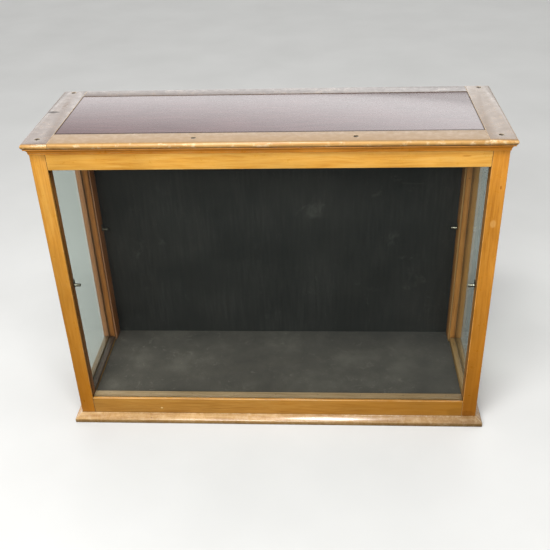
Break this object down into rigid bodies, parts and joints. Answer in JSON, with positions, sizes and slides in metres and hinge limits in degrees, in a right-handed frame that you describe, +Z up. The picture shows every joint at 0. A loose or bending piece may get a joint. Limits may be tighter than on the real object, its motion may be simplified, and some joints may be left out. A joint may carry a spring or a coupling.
{
  "type": "display case",
  "caption": "Tabletop glazed display case: a pine frame with glass at the front and sides, a framed top, a moulded plinth, and a black hinged back door.",
  "frame": {"origin": "on the ground, at the centre of the footprint (half way along the width and between the plinth's front face and the end of the door knob)", "axes": "+X to the case's right as seen from the front, +Y to the back, +Z up; the glazed front faces -Y"},
  "size_m": [0.929, 0.319, 0.685],
  "materials": {
    "frame_pine": "varnished, satin with worn arrises",
    "top_pine": "varnished, worn satin",
    "top_panel_wood": "polished, reddish brown",
    "bead_pine": "aged varnish, satin",
    "floor_board_wood": "bare, planed",
    "floor_lining_cloth": "matte",
    "door_black": "painted matt black",
    "window_glass": "clear, polished",
    "peg_brass": "dulled",
    "hinge_brass": "satin, dulled",
    "screw_steel": "dark, oxidised"
  },
  "bodies": {
    "carcase": {"post_front_left": "frame_pine", "post_front_right": "frame_pine", "post_back_left": "frame_pine", "post_back_right": "frame_pine", "lower_rail_front": "frame_pine", "lower_rail_back": "frame_pine", "lower_rail_left": "frame_pine", "lower_rail_right": "frame_pine", "upper_rail_front": "frame_pine", "upper_rail_back": "frame_pine", "upper_rail_left": "frame_pine", "upper_rail_right": "frame_pine", "cove_front": "frame_pine", "cove_left": "frame_pine", "cove_right": "frame_pine", "plinth_front": "frame_pine", "plinth_left": "frame_pine", "plinth_right": "frame_pine", "base_board": "floor_board_wood", "floor_lining": "floor_lining_cloth", "glass_front": "window_glass", "glass_left": "window_glass", "glass_right": "window_glass", "bead_front_bottom": "bead_pine", "bead_front_top": "bead_pine", "bead_front_left": "bead_pine", "bead_front_right": "bead_pine", "bead_left_bottom": "bead_pine", "bead_left_top": "bead_pine", "bead_left_front": "bead_pine", "bead_left_back": "bead_pine", "bead_right_bottom": "bead_pine", "bead_right_top": "bead_pine", "bead_right_front": "bead_pine", "bead_right_back": "bead_pine", "top_stile_left": "top_pine", "top_stile_right": "top_pine", "top_board_front": "top_pine", "top_board_back": "top_pine", "top_panel": "top_panel_wood", "shelf_peg_front_left": "peg_brass", "shelf_peg_front_right": "peg_brass", "shelf_peg_back_left": "peg_brass", "shelf_peg_back_right": "peg_brass", "top_screw_front_left": "screw_steel", "top_screw_front_mid_left": "screw_steel", "top_screw_front_mid_right": "screw_steel", "top_screw_front_right": "screw_steel", "top_screw_back_left": "screw_steel", "top_screw_back_right": "screw_steel", "turn_button_screw": "screw_steel", "hinge_lower_post_leaf": "hinge_brass", "hinge_lower_pin": "hinge_brass", "hinge_upper_post_leaf": "hinge_brass", "hinge_upper_pin": "hinge_brass"},
    "door": {"back_door": "door_black", "hinge_lower_door_leaf": "hinge_brass", "hinge_upper_door_leaf": "hinge_brass", "door_knob": "hinge_brass"},
    "turn_button": {"turn_button": "hinge_brass"}
  },
  "joints": [
    {"name": "door_hinge", "type": "hinge", "parent": "carcase", "child": "door", "pos_m": [-0.4287, 0.1479, 0.3375], "axis": [0, 0, 1], "range_deg": [0, 170]},
    {"name": "button_turn", "type": "hinge", "parent": "carcase", "child": "turn_button", "pos_m": [0.4395, 0.1475, 0.34], "axis": [0, 1, 0], "range_deg": [0, 90]}
  ]
}
